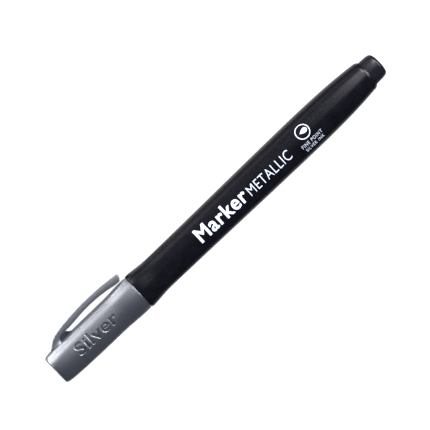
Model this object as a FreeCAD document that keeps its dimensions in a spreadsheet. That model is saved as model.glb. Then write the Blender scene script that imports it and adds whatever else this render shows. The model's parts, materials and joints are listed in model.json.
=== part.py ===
import FreeCAD, Part
import math
import os
import re

import Sketcher

Vector = FreeCAD.Vector

# Felt tip marker, capped. Every piece is drawn in one pen frame: x runs along the pen from the
# flat cap end to the tail, z points out of the pen axis towards the clip. The whole pen is then
# laid on its side, rolled until the clip touches the surface that it lies on.
SIZES = [
    ("overall_length", 140.0, "cap end to end of the tail post"),
    ("cap_length", 35.8, "cap end to cap mouth"),
    ("seam", 0.05, "gap between cap mouth and barrel"),
    ("barrel_end", 134.6, "where the barrel stops and the post begins"),
    ("cap_flat_radius", 4.7, "flat part of the cap end"),
    ("cap_corner", 0.75, "rounding of the cap end"),
    ("cap_end_radius", 5.28, "cap just behind its end"),
    ("cap_shoulder_at", 4.9, "end of the domed run in"),
    ("cap_shoulder_radius", 5.68, "cap at that place"),
    ("cap_dome_bend", 29.0, "curve of that run in"),
    ("cap_side_bend", 750.0, "long curve of the cap's side"),
    ("cap_body_radius", 5.95, "cap before its flare"),
    ("flare_start", 24.9, "start of the flare"),
    ("flare_mid_at", 28.9, "middle of the flare"),
    ("flare_mid_radius", 6.14, "cap at that place"),
    ("flare_bend", 56.0, "curve into and out of the flare"),
    ("cap_mouth_radius", 6.42, "widest part of the pen, and the height of its axis"),
    ("mouth_land", 1.5, "parallel length at the cap mouth"),
    ("mouth_round", 0.4, "rounding of cap mouth and barrel front"),
    ("edge_break", 0.3, "chamfer inside the cap mouth"),
    ("lead_in", 0.4, "chamfer that guides a pressed piece home"),
    ("rib_root", 0.2, "depth that a rib is sunk into its wall"),
    ("cap_bore", 5.0, "bore at the cap mouth"),
    ("bore_step_at", 26.0, "end of that bore"),
    ("bore_step_length", 3.0, "taper down to the deep bore"),
    ("cap_deep_bore", 4.5, "bore that holds the inner cap"),
    ("cap_end_wall", 1.4, "thickness of the cap end"),
    ("grip_rib_radius", 4.48, "inner face of the grip ribs"),
    ("grip_rib_width", 1.0, "width of a grip rib"),
    ("grip_rib_start", 29.5, "ribs begin here"),
    ("grip_rib_length", 5.4, "length of a grip rib"),
    ("seal_radius", 3.38, "seal land of the nib holder"),
    ("seal_gap", 0.05, "clearance between seal land and inner cap"),
    ("inner_cap_end", 22.0, "rim of the inner cap"),
    ("seal_length", 2.2, "length that seals on the nib holder"),
    ("seal_ramp", 0.8, "taper from there to the cavity"),
    ("inner_cap_cavity", 3.0, "radius of the cup that holds the tip"),
    ("inner_cap_floor", 0.8, "thickness of the cup's floor"),
    ("cup_corner", 0.8, "rounding inside the inner cap and the end plug"),
    ("nib_radius", 1.0, "radius of the nib rod"),
    ("nib_tip_at", 11.5, "very tip of the nib"),
    ("nib_dome_length", 0.2, "rounded tip"),
    ("nib_dome_radius", 0.4, "nib where the rounded tip ends"),
    ("nib_dome_bend", 0.5, "curve of the rounded tip"),
    ("nib_cone_length", 1.5, "cone from the rounded tip to the full rod"),
    ("nib_tail_at", 53.0, "end of the nib inside the reservoir"),
    ("nose_at", 13.8, "front face of the nib holder"),
    ("nose_face_radius", 1.65, "flat part of that face"),
    ("nose_round", 0.4, "rounding of the nose"),
    ("nose_radius", 2.0, "nose just behind its rounding"),
    ("cone_end_at", 18.4, "end of the nose's cone"),
    ("cone_end_radius", 2.55, "nose at that place"),
    ("cone_fillet", 2.6, "hollow curve up to the seal land"),
    ("seal_land_at", 20.6, "start of the seal land"),
    ("collar_at", 25.6, "start of the collar"),
    ("collar_ramp", 1.4, "taper up to the collar"),
    ("collar_radius", 4.41, "collar that the cap grips"),
    ("holder_end", 46.6, "end of the nib holder inside the barrel"),
    ("holder_hollow", 3.6, "hollow at the back of the nib holder"),
    ("holder_hollow_depth", 6.6, "depth of that hollow"),
    ("holder_funnel", 3.4, "taper from the hollow to the nib"),
    ("vent_width", 0.8, "width of a vent groove"),
    ("vent_floor", 4.1, "distance of a vent's floor from the axis"),
    ("vent_start", 33.0, "vents begin here"),
    ("barrel_front_radius", 6.34, "lip behind the cap mouth"),
    ("lip_bend", 14.0, "crown of the lip"),
    ("lip_end_at", 39.0, "end of the lip"),
    ("lip_end_radius", 6.24, "barrel at that place"),
    ("shoulder_foot_at", 41.2, "foot of the slope behind the lip"),
    ("shoulder_foot_radius", 6.04, "barrel at that place"),
    ("waist_at", 44.6, "narrowest place behind the lip"),
    ("waist_radius", 5.84, "barrel at its waist"),
    ("waist_bend", 33.0, "hollow curve down to the waist"),
    ("belly_start", 105.5, "end of the straight taper"),
    ("belly_radius", 6.37, "barrel at that place"),
    ("belly_bend", 290.0, "radius of the long curve to the tail"),
    ("tail_radius", 5.21, "barrel just before its end"),
    ("tail_round", 0.5, "rounding of the barrel's end"),
    ("barrel_bore", 4.6, "main bore"),
    ("tail_bore", 4.25, "bore that holds the end plug"),
    ("tail_bore_at", 126.0, "where the bore steps down"),
    ("spacer_rib_radius", 4.2, "inner face of the ribs round the reservoir"),
    ("spacer_rib_width", 0.8, "width of such a rib"),
    ("spacer_rib_start", 48.0, "ribs begin here"),
    ("spacer_rib_length", 75.0, "length of such a rib"),
    ("reservoir_at", 47.2, "front of the ink reservoir"),
    ("reservoir_end", 124.0, "back of the ink reservoir"),
    ("reservoir_radius", 4.05, "fibre rod"),
    ("film_thickness", 0.1, "film wrapped round the rod"),
    ("plug_start", 124.4, "inner end of the end plug"),
    ("plug_hollow", 3.1, "hollow of the end plug"),
    ("post_radius", 4.42, "tail post"),
    ("post_straight_end", 137.6, "end of the post's straight side"),
    ("post_rim_radius", 2.9, "where the rounded rim meets the crown"),
    ("post_rim", 2.0, "rounding of the post's rim"),
    ("post_crown", 0.22, "height of the crown"),
    ("crown_bend", 20.0, "curve of the crown"),
    ("clip_foot_at", 4.2, "clip leaves the cap here"),
    ("clip_foot_height", 5.7, "distance of that place from the axis"),
    ("clip_heel_bend", 8.6, "curve of the heel"),
    ("clip_split_at", 11.2, "arm begins to flex here"),
    ("clip_split_top", 8.74, "outer skin at that place"),
    ("clip_split_under", 6.6, "under side at that place"),
    ("clip_split_gap", 0.05, "gap between foot and arm"),
    ("clip_bend", 76.0, "curve of the outer skin"),
    ("clip_under_bend", 60.0, "curve of the under side"),
    ("clip_tip_at", 35.1, "end of the arm"),
    ("clip_tip_top", 8.43, "outer skin at the end"),
    ("clip_tip_under_at", 33.5, "lower corner of the end"),
    ("clip_tip_under", 6.62, "height of that corner"),
    ("clip_web_end", 13.6, "web under the arm runs out here"),
    ("clip_web_foot", 5.6, "height of that place"),
    ("clip_web_bend", 3.2, "hollow curve of the web"),
    ("clip_foot_depth", 4.8, "foot is sunk this deep into the cap"),
    ("clip_width", 4.5, "width of the clip"),
    ("clip_tip_width", 3.8, "width of the arm at its tip"),
    ("clip_edge", 0.5, "rounding of the clip's edges"),
    ("clip_tip_edge", 0.4, "rounding across the arm's tip"),
    ("trim_margin", 1.0, "trimming wedges reach this far past the arm"),
    ("clip_peak", 9.53, "furthest distance of the clip from the axis"),
    ("clip_drop", 30.1, "degrees that the clip lies below the horizontal"),
]

doc = FreeCAD.newDocument("felt_tip_marker")
sheet = doc.addObject("Spreadsheet::Sheet", "Sizes")
for row, (alias, value, meaning) in enumerate(SIZES, start=1):
    sheet.set(f"A{row}", meaning)
    sheet.set(f"B{row}", str(value))
    sheet.setAlias(f"B{row}", alias)
doc.recompute()

ALIASES = [alias for alias, _, _ in SIZES]
SPACER_RIBS = 6
GRIP_RIBS = 6
VENTS = 4
pieces = []


def linked(formula):
    """Write a formula of plain alias names as one that refers to the sheet."""
    return re.sub(r"[a-z_]+", lambda word: "Sizes." + word[0] if word[0] in ALIASES else word[0], formula)


def value_of(formula):
    return float(sheet.evalExpression(linked(formula)))


def plane_of(body, role):
    return next(item for item in body.Origin.OriginFeatures if item.Role == role)


def arc_between(start, end, radius, side):
    """Anticlockwise minor arc; side +1 bulges to the left of start-to-end, -1 to the right."""
    chord = end - start
    middle = (start + end) * 0.5
    normal = Vector(-chord.y, chord.x, 0).normalize()
    rise = radius - math.sqrt(radius ** 2 - (chord.Length / 2) ** 2)
    crest = middle + normal * side * rise
    return Part.Arc(end, crest, start) if side > 0 else Part.Arc(start, crest, end)


def closed_sketch(body, name, role, outline):
    """Closed sketch through the outline's vertices.

    Each vertex is (x formula, y formula) with a straight side to the next one, or
    (x formula, y formula, radius formula, side) with an arc to the next one.
    """
    sketch = body.newObject("Sketcher::SketchObject", name)
    sketch.AttachmentSupport = (plane_of(body, role), [""])
    sketch.MapMode = "FlatFace"
    corners = [Vector(value_of(vertex[0]), value_of(vertex[1]), 0) for vertex in outline]
    ends = []
    for index, vertex in enumerate(outline):
        start = corners[index]
        end = corners[(index + 1) % len(corners)]
        if len(vertex) == 2:
            side_id = sketch.addGeometry(Part.LineSegment(start, end), False)
            ends.append((side_id, 1, 2))
            continue
        curve = arc_between(start, end, value_of(vertex[2]), vertex[3])
        side_id = sketch.addGeometry(curve, False)
        ends.append((side_id, 2, 1) if vertex[3] > 0 else (side_id, 1, 2))
        bend = sketch.addConstraint(Sketcher.Constraint("Radius", side_id, value_of(vertex[2])))
        sketch.setExpression(f"Constraints[{bend}]", linked(vertex[2]))
    for index, (side_id, first, last) in enumerate(ends):
        next_id, next_first, _ = ends[(index + 1) % len(ends)]
        sketch.addConstraint(Sketcher.Constraint("Coincident", side_id, last, next_id, next_first))
        for kind, formula, place, axis in (
            ("DistanceX", outline[index][0], corners[index].x, -2),
            ("DistanceY", outline[index][1], corners[index].y, -1),
        ):
            if abs(place) < 1e-9:
                sketch.addConstraint(Sketcher.Constraint("PointOnObject", side_id, first, axis))
                continue
            held = sketch.addConstraint(Sketcher.Constraint(kind, -1, 1, side_id, first, place))
            sketch.setExpression(f"Constraints[{held}]", linked(formula))
    return sketch


def new_piece(label):
    """Body of one piece, laid down with the rest of the pen."""
    body = doc.addObject("PartDesign::Body", label)
    body.Label = label
    across = "(clip_peak - clip_edge) * cos(clip_drop * 1 deg)"
    sideways = "((clip_width + clip_tip_width) / 4 - clip_edge) * sin(clip_drop * 1 deg)"
    shift = f"(cap_mouth_radius - {across} - {sideways} - clip_edge) / 2"
    spot = linked(f"vector(0 - overall_length / 2; {shift}; cap_mouth_radius)")
    turn = linked("rotation(vector(1; 0; 0); 0 - 90 - clip_drop)")
    body.setExpression("Placement", f"placement({spot}; {turn})")
    pieces.append(body)
    return body


def revolve(body, name, outline):
    """Turn a closed outline of (along the pen, radius) vertices about the pen axis."""
    sketch = closed_sketch(body, name + "_outline", "XZ_Plane", outline)
    turned = body.newObject("PartDesign::Revolution", name)
    turned.Profile = sketch
    turned.ReferenceAxis = (sketch, ["H_Axis"])
    turned.Angle = 360
    doc.recompute()
    return turned


def ring_of_bars(body, name, feature_type, count, width, low, high, start, length):
    """Bars or slots along the pen, evenly spaced round its axis, from radius low to high."""
    half = f"{width} / 2"
    outline = [(f"0 - {half}", low), (half, low), (half, high), (f"0 - {half}", high)]
    sketch = closed_sketch(body, name + "_section", "YZ_Plane", outline)
    sketch.setExpression("AttachmentOffset.Base.z", linked(start))
    bar = body.newObject(feature_type, name)
    bar.Profile = sketch
    bar.setExpression("Length", linked(length))
    bar.Reversed = feature_type == "PartDesign::Pocket"
    doc.recompute()
    pattern = body.newObject("PartDesign::PolarPattern", name + "_ring")
    pattern.Originals = [bar]
    pattern.Axis = (plane_of(body, "X_Axis"), [""])
    pattern.Angle = 360
    pattern.Occurrences = count
    body.Tip = pattern
    doc.recompute()
    return pattern


def round_edges(body, name, radius, chosen):
    """Fillet the edges of the body that the chosen test accepts."""
    base = body.Tip
    edges = [f"Edge{n}" for n, edge in enumerate(base.Shape.Edges, start=1) if chosen(edge)]
    fillet = body.newObject("PartDesign::Fillet", name)
    fillet.Base = (base, edges)
    fillet.setExpression("Radius", linked(radius))
    doc.recompute()
    return fillet


def make_cap_shell():
    cap = new_piece("cap_shell")
    revolve(cap, "cap_cup", [
        ("0", "0"),
        ("0", "cap_flat_radius", "cap_corner", 1),
        ("cap_corner", "cap_end_radius", "cap_dome_bend", 1),
        ("cap_shoulder_at", "cap_shoulder_radius", "cap_side_bend", 1),
        ("flare_start", "cap_body_radius", "flare_bend", -1),
        ("flare_mid_at", "flare_mid_radius", "flare_bend", 1),
        ("cap_length - mouth_land", "cap_mouth_radius"),
        ("cap_length - mouth_round", "cap_mouth_radius", "mouth_round", 1),
        ("cap_length", "cap_mouth_radius - mouth_round"),
        ("cap_length", "cap_bore + edge_break"),
        ("cap_length - edge_break", "cap_bore"),
        ("bore_step_at", "cap_bore"),
        ("bore_step_at - bore_step_length", "cap_deep_bore"),
        ("cap_end_wall", "cap_deep_bore"),
        ("cap_end_wall", "0"),
    ])
    ring_of_bars(cap, "grip_ribs", "PartDesign::Pad", GRIP_RIBS, "grip_rib_width",
                 "grip_rib_radius", "cap_bore + rib_root", "grip_rib_start", "grip_rib_length")
    heel = closed_sketch(cap, "clip_foot_outline", "XZ_Plane", [
        ("clip_foot_at", "clip_foot_height", "clip_heel_bend", 1),
        ("clip_split_at", "clip_split_top"),
        ("clip_split_at", "clip_split_under", "clip_web_bend", -1),
        ("clip_web_end", "clip_web_foot"),
        ("clip_web_end", "clip_foot_depth"),
        ("clip_foot_at", "clip_foot_depth"),
    ])
    foot = cap.newObject("PartDesign::Pad", "clip_foot")
    foot.Profile = heel
    foot.setExpression("Length", linked("clip_width"))
    foot.Midplane = True
    doc.recompute()


def make_clip_arm():
    arm = new_piece("clip_arm")
    profile = closed_sketch(arm, "arm_outline", "XZ_Plane", [
        ("clip_split_at + clip_split_gap", "clip_split_under", "clip_under_bend", 1),
        ("clip_tip_under_at", "clip_tip_under"),
        ("clip_tip_at", "clip_tip_top", "clip_bend", -1),
        ("clip_split_at + clip_split_gap", "clip_split_top"),
    ])
    blade = arm.newObject("PartDesign::Pad", "arm_blade")
    blade.Profile = profile
    blade.setExpression("Length", linked("clip_width"))
    blade.Midplane = True
    doc.recompute()
    half_root = "clip_width / 2"
    half_tip = "clip_tip_width / 2"
    for name, sign in (("trim_near", "0 - "), ("trim_far", "")):
        wedge = closed_sketch(arm, name + "_outline", "XY_Plane", [
            ("clip_split_at", f"{sign}({half_root})"),
            ("clip_tip_at + trim_margin", f"{sign}({half_tip})"),
            ("clip_tip_at + trim_margin", f"{sign}({half_root} + trim_margin)"),
            ("clip_split_at", f"{sign}({half_root} + trim_margin)"),
        ])
        trim = arm.newObject("PartDesign::Pocket", name)
        trim.Profile = wedge
        trim.Type = "ThroughAll"
        trim.Midplane = True
        doc.recompute()

    half_arm = value_of("(clip_tip_at - clip_split_at) / 2")
    half_width = value_of("clip_tip_width / 2")
    tip_zone = value_of("clip_tip_under_at - clip_edge")

    def along_arm(edge):
        return edge.BoundBox.XLength > half_arm

    round_edges(arm, "arm_edges", "clip_edge", along_arm)

    def across_tip(edge):
        box = edge.BoundBox
        return box.YLength > half_width and box.XMin > tip_zone

    round_edges(arm, "tip_edges", "clip_tip_edge", across_tip)


def make_inner_cap():
    seal = new_piece("inner_cap")
    revolve(seal, "inner_cap_cup", [
        ("cap_end_wall", "0"),
        ("cap_end_wall", "cap_deep_bore"),
        ("inner_cap_end - lead_in", "cap_deep_bore"),
        ("inner_cap_end", "cap_deep_bore - lead_in"),
        ("inner_cap_end", "seal_radius + seal_gap + lead_in"),
        ("inner_cap_end - lead_in", "seal_radius + seal_gap"),
        ("inner_cap_end - lead_in - seal_length", "seal_radius + seal_gap"),
        ("inner_cap_end - lead_in - seal_length - seal_ramp", "inner_cap_cavity"),
        ("cap_end_wall + inner_cap_floor + cup_corner", "inner_cap_cavity", "cup_corner", -1),
        ("cap_end_wall + inner_cap_floor", "inner_cap_cavity - cup_corner"),
        ("cap_end_wall + inner_cap_floor", "0"),
    ])


def make_nib_holder():
    holder = new_piece("nib_holder")
    revolve(holder, "nib_holder_body", [
        ("nose_at", "nib_radius"),
        ("nose_at", "nose_face_radius", "nose_round", 1),
        ("nose_at + nose_round", "nose_radius"),
        ("cone_end_at", "cone_end_radius", "cone_fillet", -1),
        ("seal_land_at - lead_in", "seal_radius - lead_in"),
        ("seal_land_at", "seal_radius"),
        ("collar_at - collar_ramp", "seal_radius"),
        ("collar_at", "collar_radius"),
        ("cap_length + seam", "collar_radius"),
        ("cap_length + seam", "barrel_bore"),
        ("holder_end - lead_in", "barrel_bore"),
        ("holder_end", "barrel_bore - lead_in"),
        ("holder_end", "holder_hollow"),
        ("holder_end - holder_hollow_depth", "holder_hollow"),
        ("holder_end - holder_hollow_depth - holder_funnel", "nib_radius"),
    ])
    ring_of_bars(holder, "vents", "PartDesign::Pocket", VENTS, "vent_width",
                 "vent_floor", "barrel_bore + rib_root", "vent_start", "holder_end - vent_start")


def make_nib():
    nib = new_piece("nib")
    revolve(nib, "nib_rod", [
        ("nib_tip_at", "0", "nib_dome_bend", 1),
        ("nib_tip_at + nib_dome_length", "nib_dome_radius"),
        ("nib_tip_at + nib_dome_length + nib_cone_length", "nib_radius"),
        ("nib_tail_at - lead_in", "nib_radius"),
        ("nib_tail_at", "nib_radius - lead_in"),
        ("nib_tail_at", "0"),
    ])


def make_reservoir():
    rod = new_piece("ink_reservoir")
    revolve(rod, "fibre_rod", [
        ("reservoir_at", "nib_radius"),
        ("reservoir_at", "reservoir_radius"),
        ("reservoir_end", "reservoir_radius"),
        ("reservoir_end", "0"),
        ("nib_tail_at", "0"),
        ("nib_tail_at", "nib_radius"),
    ])
    film = new_piece("reservoir_film")
    revolve(film, "film_tube", [
        ("reservoir_at", "reservoir_radius"),
        ("reservoir_at", "reservoir_radius + film_thickness"),
        ("reservoir_end", "reservoir_radius + film_thickness"),
        ("reservoir_end", "reservoir_radius"),
    ])


def make_barrel():
    barrel = new_piece("barrel")
    revolve(barrel, "barrel_tube", [
        ("cap_length + seam", "barrel_bore"),
        ("cap_length + seam", "barrel_front_radius - mouth_round", "mouth_round", 1),
        ("cap_length + seam + mouth_round", "barrel_front_radius", "lip_bend", 1),
        ("lip_end_at", "lip_end_radius"),
        ("shoulder_foot_at", "shoulder_foot_radius", "waist_bend", -1),
        ("waist_at", "waist_radius"),
        ("belly_start", "belly_radius", "belly_bend", 1),
        ("barrel_end - tail_round", "tail_radius", "tail_round", 1),
        ("barrel_end", "tail_radius - tail_round"),
        ("barrel_end", "tail_bore"),
        ("tail_bore_at", "tail_bore"),
        ("tail_bore_at", "barrel_bore"),
    ])
    ring_of_bars(barrel, "spacer_ribs", "PartDesign::Pad", SPACER_RIBS, "spacer_rib_width",
                 "spacer_rib_radius", "barrel_bore + rib_root", "spacer_rib_start",
                 "spacer_rib_length")


def make_end_plug():
    plug = new_piece("end_plug")
    revolve(plug, "end_plug_cup", [
        ("plug_start", "plug_hollow"),
        ("plug_start", "tail_bore - lead_in"),
        ("plug_start + lead_in", "tail_bore"),
        ("barrel_end", "tail_bore"),
        ("barrel_end", "post_radius"),
        ("post_straight_end", "post_radius", "post_rim", 1),
        ("overall_length - post_crown", "post_rim_radius", "crown_bend", 1),
        ("overall_length", "0"),
        ("post_straight_end", "0"),
        ("post_straight_end", "plug_hollow - cup_corner", "cup_corner", -1),
        ("post_straight_end - cup_corner", "plug_hollow"),
    ])


def check_and_write():
    """Stop on any failed object or bad solid, then write one STEP file a piece."""
    doc.recompute()
    for item in doc.Objects:
        failed = [state for state in item.State if state in ("Invalid", "Error")]
        if failed:
            raise RuntimeError(f"{item.Label}: {failed}")
    for body in pieces:
        shape = body.Shape
        if shape.isNull() or not shape.isValid() or len(shape.Solids) != 1:
            raise RuntimeError(f"{body.Label}: not one valid solid")
    os.makedirs("parts", exist_ok=True)
    for body in pieces:
        body.Shape.exportStep(f"parts/{body.Label}.step")
        print(f"{body.Label}: {body.Shape.Volume:.1f} mm3")


make_cap_shell()
make_clip_arm()
make_inner_cap()
make_nib_holder()
make_nib()
make_reservoir()
make_barrel()
make_end_plug()
check_and_write()
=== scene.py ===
"""Looks of a capped felt tip marker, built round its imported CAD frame.

Shapes are worked out in pen coordinates, in millimetres: x along the pen from the cap end, near
towards the side that carries the lettering, and up towards the clip. place() turns them into the
row frame, in metres.
"""
import json
import math

import bmesh
import bpy
import numpy as np
from mathutils import Matrix, Vector


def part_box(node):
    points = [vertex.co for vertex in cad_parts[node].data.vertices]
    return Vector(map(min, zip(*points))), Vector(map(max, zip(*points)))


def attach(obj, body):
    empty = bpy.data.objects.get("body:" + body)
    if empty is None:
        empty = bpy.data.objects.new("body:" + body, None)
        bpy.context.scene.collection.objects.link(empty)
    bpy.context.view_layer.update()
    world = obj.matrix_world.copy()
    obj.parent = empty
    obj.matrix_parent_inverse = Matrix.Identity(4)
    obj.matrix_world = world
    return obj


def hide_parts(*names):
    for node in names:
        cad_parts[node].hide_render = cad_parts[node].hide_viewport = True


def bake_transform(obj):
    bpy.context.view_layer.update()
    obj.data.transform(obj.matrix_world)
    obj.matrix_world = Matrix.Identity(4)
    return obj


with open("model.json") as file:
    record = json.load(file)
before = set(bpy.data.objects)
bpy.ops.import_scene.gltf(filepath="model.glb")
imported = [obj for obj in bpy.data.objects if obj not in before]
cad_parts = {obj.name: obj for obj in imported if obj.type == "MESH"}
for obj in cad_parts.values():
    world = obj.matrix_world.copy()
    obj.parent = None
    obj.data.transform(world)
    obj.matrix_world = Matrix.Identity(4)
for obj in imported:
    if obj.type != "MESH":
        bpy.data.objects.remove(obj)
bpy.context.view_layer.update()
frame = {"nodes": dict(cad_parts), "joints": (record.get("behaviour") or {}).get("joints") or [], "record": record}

# ---------------------------------------------------------------- the pen in the row frame

MOUNTS = {mount["name"]: mount for mount in frame["record"]["mounts"]}
JOINTS = {joint["name"]: joint for joint in frame["joints"]}
AXIS_START = Vector(MOUNTS["cap_end"]["pos_m"])
ALONG = Vector(MOUNTS["tail_post"]["axis"]).normalized()
NEAR = Vector(JOINTS["clip_flex"]["axis"]).normalized()
UP = NEAR.cross(ALONG)
MM = 0.001


def place(x, near, up):
    """Point of the row frame, in metres, from pen coordinates in millimetres."""
    return AXIS_START + (ALONG * x + NEAR * near + UP * up) * MM


def along_pen(node):
    """Where a CAD node starts and ends along the pen, in millimetres."""
    low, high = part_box(node)
    return (low.x - AXIS_START.x) / MM, (high.x - AXIS_START.x) / MM


# The seam between cap and barrel lies this much nearer the cap end than in the CAD, in millimetres.
SEAM_SHIFT = 0.35
CAP_MOUTH = along_pen("cap_shell")[1] - SEAM_SHIFT
BARREL_START, BARREL_END = along_pen("barrel")
BARREL_START -= SEAM_SHIFT
PEN_END = along_pen("end_plug")[1]
HOLDER_NOSE, HOLDER_END = along_pen("nib_holder")
NIB_TIP, NIB_TAIL = along_pen("nib")
INNER_CAP_START, INNER_CAP_RIM = along_pen("inner_cap")
CLIP_SPLIT, CLIP_TIP = along_pen("clip_arm")

# ---------------------------------------------------------------- outlines

CORNER_STEPS = 5


def spline(points, count):
    """Natural cubic spline through points, by chord length, sampled at count places."""
    knots = np.array(points, float)
    gaps = np.linalg.norm(np.diff(knots, axis=0), axis=1)
    at = np.concatenate([[0], np.cumsum(gaps)])
    n = len(knots)
    matrix = np.eye(n)
    right = np.zeros_like(knots)
    for i in range(1, n - 1):
        matrix[i, i - 1:i + 2] = gaps[i - 1], 2 * (gaps[i - 1] + gaps[i]), gaps[i]
        slope_on = (knots[i + 1] - knots[i]) / gaps[i]
        slope_back = (knots[i] - knots[i - 1]) / gaps[i - 1]
        right[i] = 6 * (slope_on - slope_back)
    bend = np.linalg.solve(matrix, right)
    made = []
    for s in np.linspace(0, at[-1], count):
        i = min(int(np.searchsorted(at, s, side="right")) - 1, n - 2)
        a, b, gap = at[i + 1] - s, s - at[i], gaps[i]
        made.append(
            (bend[i] * a ** 3 + bend[i + 1] * b ** 3) / (6 * gap)
            + (knots[i] / gap - bend[i] * gap / 6) * a
            + (knots[i + 1] / gap - bend[i + 1] * gap / 6) * b
        )
    return [tuple(point) for point in made]


def rounded(vertices):
    """Open outline through (x, r) or (x, r, corner radius) vertices, with its corners rounded."""
    made = []
    for i, vertex in enumerate(vertices):
        here = Vector(vertex[:2])
        if len(vertex) == 2 or i in (0, len(vertices) - 1):
            made.append(tuple(here))
            continue
        back = (Vector(vertices[i - 1][:2]) - here).normalized()
        on = (Vector(vertices[i + 1][:2]) - here).normalized()
        half = back.angle(on) / 2
        reach = vertex[2] / math.tan(half)
        middle = here + (back + on).normalized() * (vertex[2] / math.sin(half))
        start, end = here + back * reach - middle, here + on * reach - middle
        for k in range(CORNER_STEPS + 1):
            arm = start.lerp(end, k / CORNER_STEPS).normalized() * vertex[2]
            made.append(tuple(middle + arm))
    return made


# ---------------------------------------------------------------- meshes

# Vertices nearer to each other than this are merged.
WELD = 1e-5
# Rings of a smaller radius than this are a point on the axis.
ON_AXIS = 1e-6
# Edges that bend by more degrees than this are shaded as sharp ones.
SHARP_TURNED = 35.0
SHARP_RELIEF = 30.0
SHARP_CLIP = 40.0


def finish_mesh(name, bm, sharp):
    """Weld a closed mesh made in pen coordinates, place it in the row frame, smooth it and link it."""
    bmesh.ops.remove_doubles(bm, verts=bm.verts, dist=WELD)
    bmesh.ops.recalc_face_normals(bm, faces=bm.faces)
    for vert in bm.verts:
        vert.co = place(*vert.co)
    if bm.calc_volume(signed=True) < 0:
        bmesh.ops.reverse_faces(bm, faces=bm.faces)
    mesh = bpy.data.meshes.new(name)
    bm.to_mesh(mesh)
    bm.free()
    for polygon in mesh.polygons:
        polygon.use_smooth = True
    mesh.set_sharp_from_angle(angle=math.radians(sharp))
    made = bpy.data.objects.new(name, mesh)
    bpy.context.scene.collection.objects.link(made)
    return made


def even_turns(count):
    """Angles of evenly spaced columns round the pen."""
    return [2 * math.pi * k / count for k in range(count)]


def lathe(name, outline, turns, relief=None, sharp=SHARP_TURNED):
    """Solid of revolution about the pen axis.

    outline is a closed loop of (x, r). turns are the angles of its columns, from NEAR towards UP.
    relief(x, r, angle) gives how far a point moves out of the surface, in millimetres.
    """
    bm = bmesh.new()
    rings = []
    for x, r in outline:
        if r < ON_AXIS:
            rings.append([bm.verts.new((x, 0, 0))])
            continue
        ring = []
        for angle in turns:
            out = r + (relief(x, r, angle) if relief else 0.0)
            ring.append(bm.verts.new((x, out * math.cos(angle), out * math.sin(angle))))
        rings.append(ring)
    for i, ring in enumerate(rings):
        other = rings[(i + 1) % len(rings)]
        if len(ring) == 1 and len(other) == 1:
            continue
        for k in range(len(turns)):
            m = (k + 1) % len(turns)
            if len(ring) == 1:
                bm.faces.new([ring[0], other[m], other[k]])
            elif len(other) == 1:
                bm.faces.new([ring[k], ring[m], other[0]])
            else:
                bm.faces.new([ring[k], ring[m], other[m], other[k]])
    return finish_mesh(name, bm, sharp)


def closed_tube(name, bm, rings):
    """Join rings of equally many vertices, close both ends and finish the mesh."""
    for first, second in zip(rings, rings[1:]):
        for k in range(len(first)):
            m = (k + 1) % len(first)
            bm.faces.new([first[k], first[m], second[m], second[k]])
    bm.faces.new(rings[0])
    bm.faces.new(list(reversed(rings[-1])))
    return finish_mesh(name, bm, SHARP_CLIP)


# ---------------------------------------------------------------- lettering

# Grid pitch at which a thickened outline is found, in millimetres.
GROWN_PITCH = 0.11
# Under and upper face of a film, measured from the surface that it lies on, in millimetres.
FILM_UNDER, FILM_OVER = -0.02, 0.018
# Axis and step, in millimetres, of the cuts that let a film follow the barrel's curve, and the
# distance within which a vertex lies on a cut.
FILM_CUTS = ((0, 0.8), (1, 0.3))
ON_CUT = 1e-6
# Keeps an edge without length or height from dividing by zero.
TINY = 1e-12


def lettering(words, weight, spacing):
    """Flat mesh of words in the built-in typeface, as a bmesh in its own units.

    weight moves the outlines of the letters outwards, and spacing is the share of their usual step.
    """
    text = bpy.data.curves.new("lettering", "FONT")
    text.body = words
    text.size = 1.0
    text.offset = weight
    text.space_character = spacing
    text.resolution_u = 6
    holder = bpy.data.objects.new("lettering", text)
    bpy.context.scene.collection.objects.link(holder)
    bpy.context.view_layer.update()
    evaluated = holder.evaluated_get(bpy.context.evaluated_depsgraph_get())
    flat = bpy.data.meshes.new_from_object(evaluated)
    bm = bmesh.new()
    bm.from_mesh(flat)
    bmesh.ops.remove_doubles(bm, verts=bm.verts, dist=WELD)
    bpy.data.objects.remove(holder)
    bpy.data.curves.remove(text)
    bpy.data.meshes.remove(flat)
    return bm


def fitted(bm, length, height):
    """Scale a flat mesh so that it is length by height, with its middle at the origin."""
    co = np.array([vert.co for vert in bm.verts])
    low, high = co.min(0), co.max(0)
    for vert in bm.verts:
        vert.co.x = (vert.co.x - (low[0] + high[0]) / 2) * length / (high[0] - low[0])
        vert.co.y = (vert.co.y - (low[1] + high[1]) / 2) * height / (high[1] - low[1])
        vert.co.z = 0
    return bm


def edge_distance(bm, xs, ys):
    """Signed distance from grid points to the outline of a flat mesh, negative inside it."""
    edges = [edge for edge in bm.edges if len(edge.link_faces) == 1]
    start = np.array([edge.verts[0].co[:2] for edge in edges])
    end = np.array([edge.verts[1].co[:2] for edge in edges])
    points = np.stack(np.meshgrid(xs, ys, indexing="ij"), -1).reshape(-1, 2)
    nearest = np.full(len(points), np.inf)
    crossings = np.zeros(len(points), int)
    for a, b in zip(start, end):
        run = b - a
        t = np.clip(((points - a) @ run) / max(run @ run, TINY), 0, 1)
        nearest = np.minimum(nearest, np.linalg.norm(points - a - t[:, None] * run, axis=1))
        spans = (a[1] > points[:, 1]) != (b[1] > points[:, 1])
        cut = a[0] + (points[:, 1] - a[1]) / (run[1] if abs(run[1]) > TINY else TINY) * run[0]
        crossings += spans & (points[:, 0] < cut)
    signed = np.where(crossings % 2 == 1, -nearest, nearest)
    return signed.reshape(len(xs), len(ys))


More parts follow.
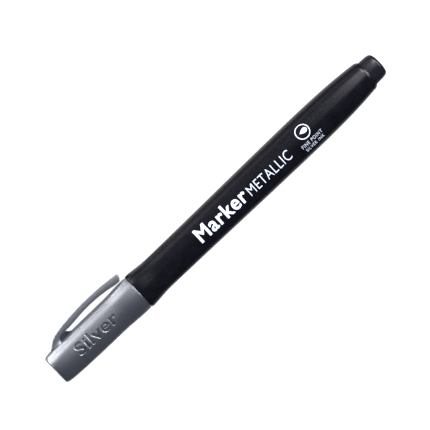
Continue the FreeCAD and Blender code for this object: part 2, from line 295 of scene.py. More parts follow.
def grown(bm, growth):
    """Flat mesh whose outline is that of another, moved outwards by a distance."""
    pitch = GROWN_PITCH
    co = np.array([vert.co for vert in bm.verts])
    low, high = co.min(0) - growth - pitch, co.max(0) + growth + pitch
    xs = np.arange(low[0], high[0] + pitch, pitch)
    ys = np.arange(low[1], high[1] + pitch, pitch)
    away = edge_distance(bm, xs, ys) - growth
    bm.free()
    made = bmesh.new()
    known = {}

    def spot(a, b):
        """Corner a of the grid, or the place between corners a and b where the outline runs."""
        key = (min(a, b), max(a, b))
        if key not in known:
            part = 0.0 if a == b else away[a] / (away[a] - away[b])
            x = (1 - part) * xs[a[0]] + part * xs[b[0]]
            y = (1 - part) * ys[a[1]] + part * ys[b[1]]
            known[key] = made.verts.new((x, y, 0))
        return known[key]

    for i in range(len(xs) - 1):
        for k in range(len(ys) - 1):
            corners = [(i, k), (i + 1, k), (i + 1, k + 1), (i, k + 1)]
            ring = []
            for a, b in zip(corners, corners[1:] + corners[:1]):
                if away[a] < 0:
                    ring.append(spot(a, a))
                if (away[a] < 0) != (away[b] < 0):
                    ring.append(spot(a, b))
            if len(ring) > 2:
                made.faces.new(ring)
    return made


def printed(name, bm, centre_x, centre_up, profile, cuts=FILM_CUTS):
    """Wrap a flat mesh round the pen as a thin closed film.

    centre_x is the middle's place along the pen, and centre_up its distance round the pen from the
    near side towards the clip. profile is the surface's (x, r), in millimetres.
    """
    co = np.array([vert.co for vert in bm.verts])
    for axis, step in cuts:
        for cut in np.arange(co[:, axis].min() + step / 2, co[:, axis].max(), step):
            spot = Vector((cut, 0, 0)) if axis == 0 else Vector((0, cut, 0))
            normal = Vector((1, 0, 0)) if axis == 0 else Vector((0, 1, 0))
            parts = bm.verts[:] + bm.edges[:] + bm.faces[:]
            bmesh.ops.bisect_plane(bm, geom=parts, dist=ON_CUT, plane_co=spot, plane_no=normal)
    xs, rs = np.array(profile).T
    flat = {vert: (vert.co.x + centre_x, vert.co.y + centre_up) for vert in bm.verts}
    made = bmesh.new()
    layers = []
    for lift in (FILM_UNDER, FILM_OVER):
        layer = {}
        for vert, (x, across) in flat.items():
            r = float(np.interp(x, xs, rs))
            angle = across / r
            near, up = (r + lift) * math.cos(angle), (r + lift) * math.sin(angle)
            layer[vert] = made.verts.new((x, near, up))
        layers.append(layer)
    under, over = layers
    for face in bm.faces:
        made.faces.new([over[vert] for vert in face.verts])
        made.faces.new([under[vert] for vert in reversed(face.verts)])
    for edge in bm.edges:
        if len(edge.link_faces) == 1:
            a, b = edge.verts
            made.faces.new([over[a], over[b], under[b], under[a]])
    bm.free()
    return finish_mesh(name, made, SHARP_RELIEF)


# ---------------------------------------------------------------- materials

# The part of a noise output's range that spread() maps.
NOISE_LOW, NOISE_HIGH = 0.3, 0.7
# How many times lighter than its base tone the pale patches of black plastic are.
PATCH_LIFT = 1.6
FIBRE_ROUGHNESS = 0.85


def material(name, base, roughness, **sockets):
    """New node material; sockets are plain values of the shader, by socket name."""
    made = bpy.data.materials.new(name)
    made.use_nodes = True
    shader = made.node_tree.nodes["Principled BSDF"]
    shader.inputs["Base Color"].default_value = (*base, 1)
    shader.inputs["Roughness"].default_value = roughness
    for socket, value in sockets.items():
        shader.inputs[socket.replace("_", " ")].default_value = value
    return made, made.node_tree, shader


def noise(tree, grain_mm, detail, stretch=(1, 1, 1)):
    """Noise of a grain size in millimetres, in the piece's own coordinates."""
    where = tree.nodes.new("ShaderNodeTexCoord")
    scale = tree.nodes.new("ShaderNodeMapping")
    scale.inputs["Scale"].default_value = stretch
    cloud = tree.nodes.new("ShaderNodeTexNoise")
    cloud.inputs["Scale"].default_value = 1 / (grain_mm * MM)
    cloud.inputs["Detail"].default_value = detail
    tree.links.new(where.outputs["Object"], scale.inputs["Vector"])
    tree.links.new(scale.outputs["Vector"], cloud.inputs["Vector"])
    return cloud.outputs["Fac"]


def spread(tree, source, low, high):
    """Map a noise output onto the range low to high."""
    ramp = tree.nodes.new("ShaderNodeMapRange")
    ramp.inputs["From Min"].default_value = NOISE_LOW
    ramp.inputs["From Max"].default_value = NOISE_HIGH
    ramp.inputs["To Min"].default_value = low
    ramp.inputs["To Max"].default_value = high
    tree.links.new(source, ramp.inputs["Value"])
    return ramp.outputs["Result"]


def tinted(tree, source, dark, light):
    """Colour that goes from dark to light with a noise output."""
    mix = tree.nodes.new("ShaderNodeMix")
    mix.data_type = "RGBA"
    mix.inputs["A"].default_value = (*dark, 1)
    mix.inputs["B"].default_value = (*light, 1)
    tree.links.new(source, mix.inputs["Factor"])
    return mix.outputs["Result"]


def coloured(tree, shader, source, dark, light):
    """Let the shader's colour go from dark to light with a noise output."""
    colour = tinted(tree, spread(tree, source, 0, 1), dark, light)
    tree.links.new(colour, shader.inputs["Base Color"])


def bump(tree, shader, source, depth_mm, strength):
    """Fine relief of the given depth."""
    relief = tree.nodes.new("ShaderNodeBump")
    relief.inputs["Distance"].default_value = depth_mm * MM
    relief.inputs["Strength"].default_value = strength
    tree.links.new(source, relief.inputs["Height"])
    tree.links.new(relief.outputs["Normal"], shader.inputs["Normal"])


def moulded_black(name, base, roughness):
    """Satin black moulded plastic with a fine spark-eroded grain."""
    made, tree, shader = material(name, base, roughness, Specular_IOR_Level=0.5,
                                  Specular_Tint=(0.9, 0.88, 1.0, 1))
    light = tuple(value * PATCH_LIFT for value in base)
    coloured(tree, shader, noise(tree, 3.0, 4.0), base, light)
    sheen = spread(tree, noise(tree, 0.6, 3.0), roughness - 0.03, roughness + 0.04)
    tree.links.new(sheen, shader.inputs["Roughness"])
    bump(tree, shader, noise(tree, 0.09, 2.0), 0.004, 0.5)
    return made


def pearl_grey():
    """Dark silver plastic: fine metal flake in a grey base under a smooth moulded skin."""
    made, tree, shader = material("cap_pearl", (0.5, 0.52, 0.57), 0.4, Metallic=0.95)
    flake = spread(tree, noise(tree, 0.12, 2.0), 0, 1)
    flow = noise(tree, 5.0, 3.0, (0.35, 1, 1))
    grey = tinted(tree, flake, (0.465, 0.48, 0.53), (0.565, 0.58, 0.63))
    shade = tree.nodes.new("ShaderNodeMix")
    shade.data_type = "RGBA"
    shade.blend_type = "MULTIPLY"
    shade.inputs["Factor"].default_value = 1.0
    tree.links.new(grey, shade.inputs["A"])
    tone = tinted(tree, spread(tree, flow, 0, 1), (0.93, 0.93, 0.93), (1, 1, 1))
    tree.links.new(tone, shade.inputs["B"])
    tree.links.new(shade.outputs["Result"], shader.inputs["Base Color"])
    rough = spread(tree, noise(tree, 0.3, 3.0), 0.38, 0.43)
    tree.links.new(rough, shader.inputs["Roughness"])
    bump(tree, shader, noise(tree, 0.1, 2.0), 0.002, 0.5)
    return made


def matt_pearl_painted_shade():
    """Darker, rougher cap plastic: its rougher finish is real, its darker colour is painted shade for the pocket
    under the clip and the sunk letters.
    """
    made, tree, shader = material("cap_matt_painted_shade", (0.16, 0.17, 0.21), 0.55, Metallic=0.9)
    coloured(tree, shader, noise(tree, 0.12, 2.0), (0.13, 0.14, 0.18), (0.19, 0.2, 0.24))
    bump(tree, shader, noise(tree, 0.08, 2.0), 0.004, 0.6)
    return made


def white_ink():
    """Pad-printed white ink, slightly uneven."""
    made, tree, shader = material("white_ink", (0.62, 0.63, 0.65), 0.45)
    coloured(tree, shader, noise(tree, 0.25, 3.0), (0.57, 0.58, 0.61), (0.65, 0.66, 0.68))
    bump(tree, shader, noise(tree, 0.12, 2.0), 0.004, 0.4)
    return made


def soft_white():
    """Natural polyethylene of the inner cap."""
    made, tree, shader = material("soft_white", (0.8, 0.8, 0.78), 0.5, Subsurface_Weight=0.2)
    shader.inputs["Subsurface Radius"].default_value = (0.001, 0.001, 0.001)
    coloured(tree, shader, noise(tree, 1.5, 3.0), (0.76, 0.76, 0.73), (0.84, 0.84, 0.82))
    bump(tree, shader, noise(tree, 0.2, 2.0), 0.005, 0.4)
    return made


def fibre(name, dark, light, grain_mm):
    """Bundled fibres that run along the pen."""
    made, tree, shader = material(name, light, FIBRE_ROUGHNESS)
    strands = noise(tree, grain_mm, 3.0, (0.04, 1, 1))
    coloured(tree, shader, strands, dark, light)
    bump(tree, shader, strands, grain_mm * 0.4, 0.8)
    return made


def clear_film():
    """Thin plastic film, with faint wrinkles."""
    made, tree, shader = material("clear_film", (0.8, 0.82, 0.85), 0.15, Transmission_Weight=0.6)
    wrinkle = noise(tree, 2.0, 3.0, (0.3, 1, 1))
    coloured(tree, shader, wrinkle, (0.72, 0.74, 0.78), (0.85, 0.87, 0.9))
    bump(tree, shader, wrinkle, 0.05, 0.4)
    return made


def pale_floor():
    """Matt studio board that glows white by itself, so that the pen's shadow doesn't show on it."""
    made, tree, shader = material("floor_board", (0.2, 0.2, 0.2), 0.9, Specular_IOR_Level=0.1,
                                  Emission_Color=(1, 1, 1, 1), Emission_Strength=0.97)
    coloured(tree, shader, noise(tree, 30.0, 2.0), (0.198, 0.198, 0.2), (0.204, 0.204, 0.204))
    return made


# ---------------------------------------------------------------- the pieces

# The outlines of turned pieces are tables of (x, r) or (x, r, corner radius), and those of the clip
# are tables of (x, up), in millimetres.


def settle(piece, body, slot, look, *nodes):
    """Give a piece its material and its body, and hide the CAD nodes that it stands for. slot is not used."""
    piece.data.materials.append(look)
    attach(piece, body)
    if nodes:
        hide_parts(*nodes)
    return piece


CAP_SIDE = spline([
    (0, 4.6), (0.1, 4.86), (0.38, 5.10), (0.9, 5.28), (1.9, 5.44), (3.4, 5.58), (5.5, 5.68), (9, 5.78),
    (14, 5.85), (20, 5.88), (24.5, 5.89), (27.0, 5.94), (28.9, 6.05), (30.9, 6.17), (32.7, 6.235),
    (34.2, 6.25), (34.95, 6.24), (35.23, 6.2), (35.4, 6.1), (CAP_MOUTH, 5.9),
], 900)
# The cap's word: where it starts and ends, its height, its depth, how far its middle lies off the
# near side, how far its strokes are thickened on each side, half the width of their sloping walls,
# and the radius at which it is wrapped. All in millimetres.
CAP_WORD_AT = (8.75, 25.05)
CAP_WORD_HEIGHT = 4.4
CAP_WORD_DEPTH = 0.2
CAP_WORD_UP = -0.15
CAP_WORD_GROWTH = 0.13
CAP_WORD_SLOPE = 0.1
CAP_WORD_RADIUS = 5.9
# The floor film of the word, which carries painted shade, stays this far inside the thickened strokes.
CAP_WORD_INSET = 0.07
# Mesh at the word: the grid's margin and pitch in millimetres and its turn step in radians. Away
# from the word each turn step is wider than the last by the rate, up to the coarse one. MOST_TURNS
# is more steps than half a turn needs.
FINE_MARGIN = 0.5
FINE_PITCH = 0.08
FINE_TURN = 0.0135
TURN_RATE = 1.2
COARSE_TURN = 0.05
MOST_TURNS = 120
# Points of the cap's outline outside this radius are on its outer skin.
CAP_SKIN_FROM = 5.5
# Six ribs inside the mouth: where they start and end, the lengths of the slopes at their ends, their
# height, the power that narrows them, and the radius past which points of the bore carry them.
RIBS_START, RIBS_END = 27, 35.2
RIBS_RISE, RIBS_FALL = 3, 0.8
RIB_HEIGHT = 0.5
RIB_POWER = 40
RIB_BORE_FROM = 4.9


def cap_lettering():
    """Flat word of the cap, smaller by the width that thickening its strokes adds."""
    start, end = CAP_WORD_AT
    return fitted(lettering("Silver", 0.0, 1.08), end - start - 2 * CAP_WORD_GROWTH,
                  CAP_WORD_HEIGHT - 2 * CAP_WORD_GROWTH)


def cap_turns():
    """Angles of the cap's columns: those across the word, and those of the rest, which widen."""
    span = (CAP_WORD_HEIGHT / 2 + FINE_MARGIN) / CAP_WORD_RADIUS
    fine = np.arange(-span, span, FINE_TURN) + CAP_WORD_UP / CAP_WORD_RADIUS
    half_gap = math.pi - (fine[-1] - fine[0]) / 2
    ramp = np.cumsum(np.minimum(FINE_TURN * TURN_RATE ** np.arange(MOST_TURNS), COARSE_TURN))
    ramp = ramp[ramp < half_gap]
    ramp *= half_gap / ramp[-1]
    return fine, [*(fine[-1] + ramp), *(fine[0] + 2 * math.pi - ramp[-2::-1])]


def cap_shell():
    """Cap with a flat end, a flared mouth, a debossed word and ribs inside its mouth."""
    start, end = CAP_WORD_AT
    fine_x = np.arange(start - FINE_MARGIN, end + FINE_MARGIN, FINE_PITCH)
    fine_turns, rest = cap_turns()
    word = cap_lettering()
    fine_up = fine_turns * CAP_WORD_RADIUS - CAP_WORD_UP
    away = edge_distance(word, fine_x - (start + end) / 2, fine_up) - CAP_WORD_GROWTH
    word.free()
    sunk = np.clip((CAP_WORD_SLOPE - away) / (2 * CAP_WORD_SLOPE), 0, 1)
    depth = CAP_WORD_DEPTH * sunk ** 2 * (3 - 2 * sunk)
    lookup = {}
    for i, x in enumerate(fine_x):
        for k, turn in enumerate(fine_turns):
            lookup[(round(x, 4), round(turn, 5))] = depth[i, k]
    xs, rs = np.array(CAP_SIDE).T
    fine = [(round(float(x), 4), float(np.interp(x, xs, rs))) for x in fine_x]
    # The coarse outline keeps this far from the fine one.
    gap = 0.05
    before = [p for p in CAP_SIDE if p[0] < fine[0][0] - gap]
    after = [p for p in CAP_SIDE if p[0] > fine[-1][0] + gap]
    outer = before[::6] + fine + after[::8] + [CAP_SIDE[-1]]
    bore = rounded([
        (CAP_MOUTH, 5.4), (CAP_MOUTH, 5.05, 0.12), (26, 5.0, 0.3), (23, 4.55, 0.3), (1.4, 4.5, 0.3),
        (1.4, 0),
    ])
    outline = [(0.0, 0.0), (0.0, 2.0), (0.0, 4.0)] + outer + bore

    def relief(x, r, angle):
        """The debossed word on the outside, and ribs with sloping ends inside the mouth."""
        if r > CAP_SKIN_FROM:
            return -lookup.get((round(x, 4), round(angle, 5)), 0.0)
        if RIBS_START < x < RIBS_END and r > RIB_BORE_FROM:
            rib = abs(math.cos(3 * angle)) ** RIB_POWER
            rise, fall = (x - RIBS_START) / RIBS_RISE, (RIBS_END - x) / RIBS_FALL
            return -RIB_HEIGHT * rib * min(1.0, rise, fall)
        return 0.0

    return lathe("cap_shell_skin", outline, [*fine_turns, *rest], relief, SHARP_RELIEF)


BARREL_SIDE = spline([
    (BARREL_START, 6.08), (BARREL_START + 0.08, 6.28), (35.85, 6.37), (36.5, 6.405), (37.6, 6.36),
    (39.2, 6.21), (40.9, 6.04), (42.8, 5.895), (44.8, 5.845), (48.5, 5.865), (57.4, 5.935), (69.9, 6.065),
    (82.4, 6.20), (94.9, 6.315), (103, 6.36), (109, 6.372), (115, 6.30), (121, 6.125), (126.1, 5.865),
    (130.5, 5.51), (132.8, 5.28), (133.6, 5.18), (133.95, 5.08), (134.2, 4.9), (134.36, 4.7),
    (BARREL_END, 4.61),
], 700)


def barrel():
    """Waisted black tube with a lip behind the cap and a tapered tail."""
    bore = rounded([
        (BARREL_END, 4.6), (BARREL_END, 4.28, 0.08), (126, 4.25), (126, 4.6), (BARREL_START, 4.6, 0.1),
        (BARREL_START, 5.6),
    ])
    return lathe("barrel_skin", BARREL_SIDE[::3] + [BARREL_SIDE[-1]] + bore, even_turns(160))


def end_plug():
    """Post at the tail, with a rounded rim and a slightly domed end."""
    side = spline([
        (135.2, 4.42), (136.6, 4.38), (137.8, 4.3), (138.5, 4.18), (139.0, 3.96), (139.35, 3.6),
        (139.62, 2.95), (139.84, 1.7), (PEN_END, 0.0),
    ], 60)
    outline = rounded([(137.0, 0), (137.0, 3.0, 0.5), (124.4, 3.1, 0.2), (124.4, 3.95, 0.1),
                       (125.2, 4.24, 0.1), (BARREL_END - 0.05, 4.24), (BARREL_END + 0.02, 4.4)])
    return lathe("end_plug_skin", outline + side, even_turns(128))


# Four vent grooves of the nib holder: their depth, their start along the pen, the length of its
# slope, the value of |cos(2 angle)| past which a groove begins, how steep its sides are, and the
# radius past which points of the outline carry them.
GROOVE_DEPTH = 0.3
GROOVE_START = 33.0
GROOVE_SLOPE = 0.6
GROOVE_FROM = 0.965
GROOVE_SIDES = 3
GROOVE_RADIUS_FROM = 4.1


def nib_holder():
    """Front section: nose, seal land, collar with a snap bead and vent grooves."""
    outer = rounded([
        (HOLDER_NOSE, 1.0), (HOLDER_NOSE, 1.75, 0.25), (14.6, 2.1, 0.3), (18.6, 2.55, 1.2), (20.2, 3.2, 0.3),
        (20.8, 3.38, 0.2), (24.2, 3.38, 0.25), (25.6, 4.38, 0.3), (30.6, 4.41, 0.2), (31.2, 4.46, 0.2),
        (31.8, 4.46, 0.2), (32.4, 4.41, 0.2), (BARREL_START, 4.41), (BARREL_START, 4.58), (46.0, 4.58, 0.1),
        (HOLDER_END, 4.2, 0.1), (HOLDER_END, 3.6, 0.1), (40.0, 3.6, 0.3), (36.6, 1.0),
    ])
    dense = []
    for a, b in zip(outer, outer[1:]):
        steps = max(1, int(abs(b[0] - a[0])))
        dense += [tuple(Vector(a).lerp(Vector(b), k / steps)) for k in range(steps)]
    dense.append(outer[-1])

    def relief(x, r, angle):
        """Vent grooves that run from the collar along the part that is pressed into the barrel."""
        if r < GROOVE_RADIUS_FROM or x < GROOVE_START:
            return 0.0
        groove = max(abs(math.cos(2 * angle)) - GROOVE_FROM, 0) / (1 - GROOVE_FROM)
        sunk = min(1.0, groove * GROOVE_SIDES)
        return -GROOVE_DEPTH * sunk * min(1.0, (x - GROOVE_START) / GROOVE_SLOPE)

    return lathe("nib_holder_skin", dense, even_turns(192), relief, SHARP_RELIEF)


def nib():
    """Fibre bullet nib."""
    tip = spline([(NIB_TIP, 0), (NIB_TIP + 0.05, 0.2), (NIB_TIP + 0.3, 0.44), (NIB_TIP + 0.9, 0.68),
                  (NIB_TIP + 1.7, 0.93), (NIB_TIP + 2.3, 1.0)], 24)
    outline = tip + rounded([(30, 1.0), (NIB_TAIL - 0.4, 1.0, 0.1), (NIB_TAIL, 0.6, 0.1), (NIB_TAIL, 0)])
    return lathe("nib_fibre", outline, even_turns(48))


def inner_cap():
    """Sealing cup pressed into the cap."""
    start, rim = INNER_CAP_START, INNER_CAP_RIM
    outline = rounded([
        (start, 0), (start, 4.48, 0.3), (rim - 0.4, 4.48, 0.2), (rim, 4.2, 0.15), (rim, 3.65, 0.1),
        (rim - 0.4, 3.44, 0.1), (rim - 2.6, 3.44, 0.2), (rim - 3.4, 3.0, 0.2), (start + 0.9, 2.95, 1.0),
        (start + 0.9, 0),
    ])
    return lathe("inner_cap_cup", outline, even_turns(96))


CLIP_TOP = spline([
    (3.0, 5.1), (3.35, 5.7), (4.2, 6.4), (5.08, 7.12), (5.95, 7.64), (7.0, 8.06), (8.4, 8.44), (9.85, 8.74),
    (11.6, 8.98), (13.6, 9.2), (16.1, 9.41), (18.6, 9.56), (21.1, 9.63), (23.6, 9.64), (26.1, 9.57),
    (28.6, 9.43), (31.1, 9.2), (33.4, 8.95), (CLIP_TIP + 0.3, 8.7),
], 240)
CLIP_UNDER = spline([
    (7.3, 4.9), (7.36, 5.5), (7.52, 6.1), (7.9, 6.62), (8.6, 6.93), (9.7, 7.02), (11.1, 6.98), (12.6, 6.99),
    (14, 7.09), (16.1, 7.3), (18.6, 7.5), (21.1, 7.6), (23, 7.6), (25, 7.52), (27.4, 7.31), (29.9, 6.95),
    (32.0, 6.58), (CLIP_TIP - 0.95, 6.47),
], 240)
# Half widths of the clip, the radii of its upper and lower edges, the crown of its top, the bulge of
# its sides, and how far the end of its tip is drawn in, in millimetres, over how many stations.
CLIP_ROOT_HALF = 2.25
CLIP_TIP_HALF = 1.9
CLIP_EDGE = 0.2
CLIP_LOWER_EDGE = 0.3
CLIP_CROWN = 0.05
CLIP_BULGE = 0.13
TIP_DRAW = 0.28
TIP_STATIONS = 5.0
# An edge's radius is at most this share of the clip's thickness.
EDGE_SHARE = 0.45
# Points round the clip's section, across it and through its thickness.
CLIP_SECTION = (24, 16)
# Foot of the clip: how far it flares out where it meets the cap, the height over which it does so,
# and where along the pen the flare grows and fades.
FOOT_FLARE = 0.3
FOOT_HEIGHT = 1.2
CAP_RADIUS_AT_FOOT = 5.68
FLARE_START, FLARE_GROWS = 3.2, 1.8
FLARE_END, FLARE_FADES = 8.2, 2.4
# The lower edge's radius grows from this share to its full size behind the foot.
FOOT_EDGE_SHARE = 0.3
FOOT_EDGE_START, FOOT_EDGE_GROWS = 8.5, 3.5


def share(value):
    """Value held within 0 to 1."""
    return min(1.0, max(0.0, value))


def section_loop(across, through):
    """Places round a rectangular section, as shares of its half width and of its thickness."""
    loop = [(k / across * 2 - 1, 0.0) for k in range(across)]
    loop += [(1.0, k / through) for k in range(through)]
    loop += [(1 - k / across * 2, 1.0) for k in range(across)]
    loop += [(-1.0, 1 - k / through) for k in range(through)]
    return loop


def round_corner(y, z, half, thick, edge, lower_edge):
    """Pull a point of a rectangular section onto its rounded corners."""
    low = z < thick / 2
    bend = lower_edge if low else edge
    over_y = max(abs(y) - (half - bend), 0.0)
    over_z = max(bend - z if low else z - (thick - bend), 0.0)
    if over_y <= 0 or over_z <= 0:
        return y, z
    fit = max(over_y, over_z) / math.hypot(over_y, over_z)
    y = math.copysign(half - bend + over_y * fit, y)
    return y, bend - over_z * fit if low else thick - bend + over_z * fit


def clip():
    """Springy clip: a foot that runs into the cap, a heel, and a bowed arm with a slanted tip."""
    top, under = np.array(CLIP_TOP), np.array(CLIP_UNDER)
    stations = len(top)
    bm = bmesh.new()
    rings = []
    for i, (a, b) in enumerate(zip(under, top)):
        thick = float(np.linalg.norm(b - a))
        run_out = max(0.0, (b[0] - CLIP_SPLIT) / (CLIP_TIP - CLIP_SPLIT))
        half = CLIP_ROOT_HALF + (CLIP_TIP_HALF - CLIP_ROOT_HALF) * run_out
        at_tip = max(0.0, 1 - (stations - 1 - i) / TIP_STATIONS)
        draw = TIP_DRAW * (1 - math.sqrt(max(0.0, 1 - at_tip ** 2)))
        edge = min(CLIP_EDGE, thick * EDGE_SHARE)
        past_foot = min(1.0, max(FOOT_EDGE_SHARE, (b[0] - FOOT_EDGE_START) / FOOT_EDGE_GROWS))
        lower_edge = min(CLIP_LOWER_EDGE * past_foot, thick * EDGE_SHARE)
        ring = []
        for q, p in section_loop(*CLIP_SECTION):
            y, z = round_corner(q * half, p * thick, half, thick, edge, lower_edge)
            y *= 1 + CLIP_BULGE / half * (1 - (2 * z / thick - 1) ** 2)
            if z > thick / 2:
                z -= CLIP_CROWN * (y / half) ** 2
            y *= 1 - draw / half
            z = thick / 2 + (z - thick / 2) * (1 - 2 * draw / thick)
            spot = a + (b - a) * (z / thick)
            height = max(math.hypot(spot[1], y) - CAP_RADIUS_AT_FOOT, 0.0)
            flare = FOOT_FLARE * max(0.0, 1 - height / FOOT_HEIGHT) ** 2
            fade = share((FLARE_END - spot[0]) / FLARE_FADES)
            fade *= share((spot[0] - FLARE_START) / FLARE_GROWS)
            y += flare * fade ** 2 * (3 - 2 * fade) * y / half
            ring.append(bm.verts.new((spot[0], y, spot[1])))
        rings.append(ring)
    return closed_tube("clip_spring", bm, rings)


def clip_web():
    """Narrow web that stiffens the heel from below, between clip and cap."""
    foot_half, head_half = 0.4, 1.4
    low, high = 5.0, 7.2
    sunk, edge = 0.2, 0.2
    ridge = spline([
        (6.9, 6.4), (7.6, 6.8), (8.8, high), (10.5, high), (11.1, 6.6), (11.8, 6.0), (13.2, 5.6),
        (14.6, low),
    ], 40)
    bm = bmesh.new()
    rings = []
    for x, top in ridge:
        height = top - low + sunk
        ring = []
        for q, p in section_loop(8, 8):
            half = foot_half + (head_half - foot_half) * p
            y, z = round_corner(q * half, p * height, half, height, edge, edge)
            ring.append(bm.verts.new((x, y, low - sunk + z)))
        rings.append(ring)
    return closed_tube("clip_web", bm, rings)


def cap_word():
    """Film on the floor of the debossed word on the cap, which carries painted shade into the sunk letters."""
    word = grown(cap_lettering(), CAP_WORD_GROWTH - CAP_WORD_INSET)
    floor = [(x, r - CAP_WORD_DEPTH) for x, r in CAP_SIDE]
    return printed("cap_word", word, sum(CAP_WORD_AT) / 2, CAP_WORD_UP, floor, cuts=())


def ring_and_drop():
    """Flat mark: a ring round a drop of ink."""
    ring_inside, ring_outside = 2.18, 2.5
    drop_middle, drop_half_length, drop_half_width, drop_taper = 0.25, 1.45, 1.15, 0.6
    bm = bmesh.new()
    turns = even_turns(72)
    inner = [bm.verts.new((ring_inside * math.cos(t), ring_inside * math.sin(t), 0)) for t in turns]
    outer = [bm.verts.new((ring_outside * math.cos(t), ring_outside * math.sin(t), 0)) for t in turns]
    for k in range(len(turns)):
        m = (k + 1) % len(turns)
        bm.faces.new([inner[k], outer[k], outer[m], inner[m]])
    drop = []
    for t in even_turns(40):
        from_point = 0.5 * (1 - math.cos(t))
        x = drop_middle - drop_half_length * math.cos(t)
        drop.append(bm.verts.new((x, drop_half_width * math.sin(t) * from_point ** drop_taper, 0)))
    bm.faces.new(drop)
    return bm


def barrel_print():
    """White printing on the barrel: a bold word, a thin word, a mark and two small lines."""
    line_weight, line_spacing, line_height = -0.012, 1.2, 1.25
    word = grown(fitted(lettering("Marker", 0.0, 1.1), 20.05, 4.82), 0.14)
    thin = fitted(lettering("METALLIC", -0.01, 1.08), 17.7, 3.4)
    first = fitted(lettering("FINE POINT", line_weight, line_spacing), 8.3, line_height)
    second = fitted(lettering("SILVER INK", line_weight, line_spacing), 7.4, line_height)
    return [
        printed("print_word", word, 70.4, -0.45, BARREL_SIDE, cuts=()),
        printed("print_kind", thin, 90.4, -1.2, BARREL_SIDE),
        printed("print_mark", ring_and_drop(), 106.75, 0.95, BARREL_SIDE),
        printed("print_line_1", first, 107.4, -2.95, BARREL_SIDE),
        printed("print_line_2", second, 107.5, -4.8, BARREL_SIDE),
    ]


def build():
    """Make every piece, and give the two CAD nodes that keep their shape their materials."""
    pearl = pearl_grey()
    black = moulded_black("barrel_black", (0.0027, 0.0026, 0.0042), 0.28)
    plug_black = moulded_black("plug_black", (0.0052, 0.0051, 0.007), 0.33)
    holder_black = moulded_black("holder_black", (0.006, 0.006, 0.0075), 0.34)
    settle(cap_shell(), "cap", "cap_plastic", pearl, "cap_shell")
    settle(inner_cap(), "cap", "seal_plastic", soft_white(), "inner_cap")
    settle(barrel(), "pen", "barrel_plastic", black, "barrel")
    settle(end_plug(), "pen", "plug_plastic", plug_black, "end_plug")
    settle(nib_holder(), "pen", "holder_plastic", holder_black, "nib_holder")
    settle(nib(), "pen", "nib_fibre", fibre("nib_fibre", (0.2, 0.2, 0.22), (0.5, 0.5, 0.53), 0.06), "nib")
    ink = white_ink()
    for piece in barrel_print():
        settle(piece, "pen", "barrel_plastic", ink)
    # The web under the clip's heel and the floor of the cap's word get a darker, rougher cap plastic: painted
    # shade in these hollows.
    painted_shade_matt = matt_pearl_painted_shade()
    settle(clip_web(), "cap", "cap_plastic", painted_shade_matt)
    settle(cap_word(), "cap", "cap_plastic", painted_shade_matt)
    spring = clip()
    spring.data.materials.append(pearl)
    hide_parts("clip_arm")
    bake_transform(spring)
    soaked = fibre("reservoir_fibre", (0.3, 0.31, 0.33), (0.55, 0.56, 0.58), 0.15)
    for node, look in (("ink_reservoir", soaked), ("reservoir_film", clear_film())):
        mesh = frame["nodes"][node].data
        mesh.materials.clear()
        mesh.materials.append(look)


# ---------------------------------------------------------------- camera, floor and light

# The camera's tilt towards the cap end and its roll in degrees, where the middle of the picture lies
# in millimetres (along the pen from its middle, and up), and the camera's distance and the width
# that it sees there in metres.
TILT, ROLL = 4.0, 43.66
PICTURE_X, PICTURE_UP = -0.48, 0.94
DISTANCE, SEEN_WIDTH = 1.6, 0.13419
SENSOR_MM = 36
# Half the board's side, in metres.
FLOOR_HALF = 3.0
DOME_COLOUR = (0.88, 0.97, 1.18, 1)
DOME_STRENGTH = 1.8
# Name, turn, shift, distance, size and power of each softbox, as lamp() takes them.
LAMPS = (
    ("key", 71, -0.17, 0.6, (0.2, 0.2), 0.7),
    ("low", 104, -0.18, 0.6, (0.22, 0.12), 0.74),
    ("cap_end", 96, -0.6, 0.6, (0.28, 0.2), 4.2),
    ("side", 80, 0.1, 0.6, (0.3, 0.14), 0.08),
    ("tail", 27, 0.3, 0.6, (0.16, 0.62), 1.12),
    ("tail_far", 46, 0.5, 0.6, (0.25, 0.34), 3.9),
    ("rims", 15, 1.25, 0.5, (0.3, 0.9), 27.0),
    ("edge_high", 130, 0.12, 0.35, (0.25, 0.2), 0.07),
    ("edge_low", 150, 0.12, 0.35, (0.25, 0.2), 0.1),
    ("far_side", -140, 0.12, 0.35, (0.25, 0.2), 0.06),
    ("from_below", -168, 0.0, 0.5, (0.5, 0.3), 0.8),
)


def aim(holder, towards, up):
    """Turn a camera or lamp at its place towards a point."""
    back = (holder.location - towards).normalized()
    side = up.cross(back).normalized()
    turn = Matrix((side, back.cross(side), back)).transposed()
    holder.rotation_euler = turn.to_euler()


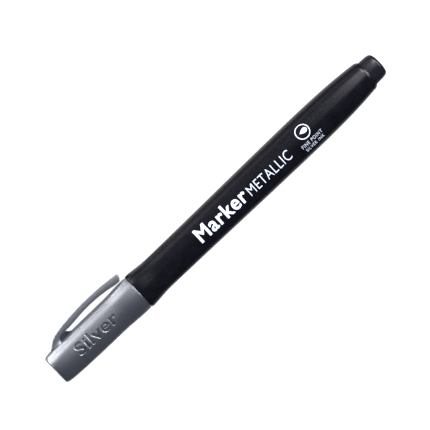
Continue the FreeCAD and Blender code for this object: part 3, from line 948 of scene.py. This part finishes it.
def camera():
    """Long lens square to the clip's plane, tilted a little towards the cap end and rolled."""
    tilt, roll = math.radians(TILT), math.radians(ROLL)
    back = NEAR * math.cos(tilt) - ALONG * math.sin(tilt)
    pen_line = ALONG * math.cos(tilt) + NEAR * math.sin(tilt)
    up = pen_line * math.sin(roll) + UP * math.cos(roll)
    target = place(PEN_END / 2 + PICTURE_X, 0, PICTURE_UP)
    lens = bpy.data.cameras.new("camera")
    lens.sensor_width = SENSOR_MM
    lens.lens = SENSOR_MM * DISTANCE / SEEN_WIDTH
    lens.clip_end = 20
    made = bpy.data.objects.new("camera", lens)
    bpy.context.scene.collection.objects.link(made)
    made.location = target + back * DISTANCE
    aim(made, target, up)
    bpy.context.scene.camera = made


def lamp(name, turn, shift, distance, size, power):
    """Softbox beside the pen, square to its axis.

    turn is its direction in degrees from NEAR towards UP, shift its place along the pen in metres
    from the pen's middle, distance its distance from the axis, and size its length along the pen and
    its width across it, all in metres. power is in watts.
    """
    foot = place(PEN_END / 2, 0, 0) + ALONG * shift
    towards = NEAR * math.cos(math.radians(turn)) + UP * math.sin(math.radians(turn))
    light = bpy.data.lights.new(name, "AREA")
    light.shape = "RECTANGLE"
    light.size, light.size_y = size
    light.energy = power
    made = bpy.data.objects.new(name, light)
    bpy.context.scene.collection.objects.link(made)
    made.location = foot + towards * distance
    aim(made, foot, ALONG.cross(towards))


def studio():
    """White board, even dome and softboxes.

    The clip's side of the lying pen faces 30 degrees below the horizon, so most of the softboxes
    stand below the board's level. They shine through the board, which casts no shadow. Neither the
    board nor the dome shows in reflections.
    """
    bm = bmesh.new()
    bmesh.ops.create_grid(bm, x_segments=8, y_segments=8, size=FLOOR_HALF)
    mesh = bpy.data.meshes.new("floor")
    bm.to_mesh(mesh)
    bm.free()
    floor = bpy.data.objects.new("floor", mesh)
    bpy.context.scene.collection.objects.link(floor)
    mesh.materials.append(pale_floor())
    floor.visible_glossy = False
    floor.visible_shadow = False
    world = bpy.data.worlds.new("dome")
    world.use_nodes = True
    background = world.node_tree.nodes["Background"]
    background.inputs["Color"].default_value = DOME_COLOUR
    background.inputs["Strength"].default_value = DOME_STRENGTH
    world.cycles_visibility.glossy = False
    bpy.context.scene.world = world
    bpy.context.scene.view_settings.view_transform = "Standard"
    for values in LAMPS:
        lamp(*values)


camera()
studio()
build()
